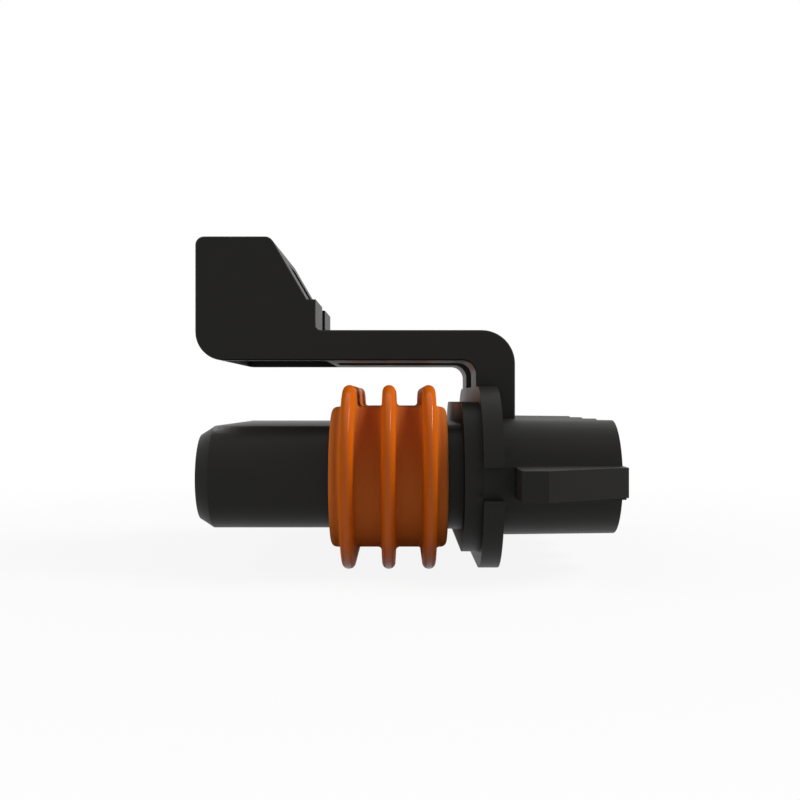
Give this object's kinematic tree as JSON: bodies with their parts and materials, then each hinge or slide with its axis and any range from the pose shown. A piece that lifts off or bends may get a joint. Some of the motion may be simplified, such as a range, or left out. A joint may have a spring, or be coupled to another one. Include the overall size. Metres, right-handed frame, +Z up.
{
  "type": "sealed automotive connector",
  "caption": "Sealed in-line wire connector plug: flat-oval barrel with a ribbed ring seal, a flange, round wire towers and an over-arm latch.",
  "frame": {"origin": "centre of the barrel's front face, on the row's axis plane", "axes": "+X from the mating face back to the wires, +Y across the row of circuits, +Z up to the latch"},
  "size_m": [0.0339, 0.0444, 0.027],
  "materials": {
    "housing_plastic": "fine satin, moulded",
    "seal_silicone": "smooth, slightly oily sheen",
    "terminal_metal": "tin-plated, dull bright"
  },
  "bodies": {
    "root": {"housing": "housing_plastic", "perimeter_seal": "seal_silicone", "terminal_1": "terminal_metal", "terminal_2": "terminal_metal", "terminal_3": "terminal_metal", "terminal_4": "terminal_metal", "cable_seal_1": "seal_silicone", "cable_seal_2": "seal_silicone", "cable_seal_3": "seal_silicone", "cable_seal_4": "seal_silicone"}
  },
  "joints": []
}
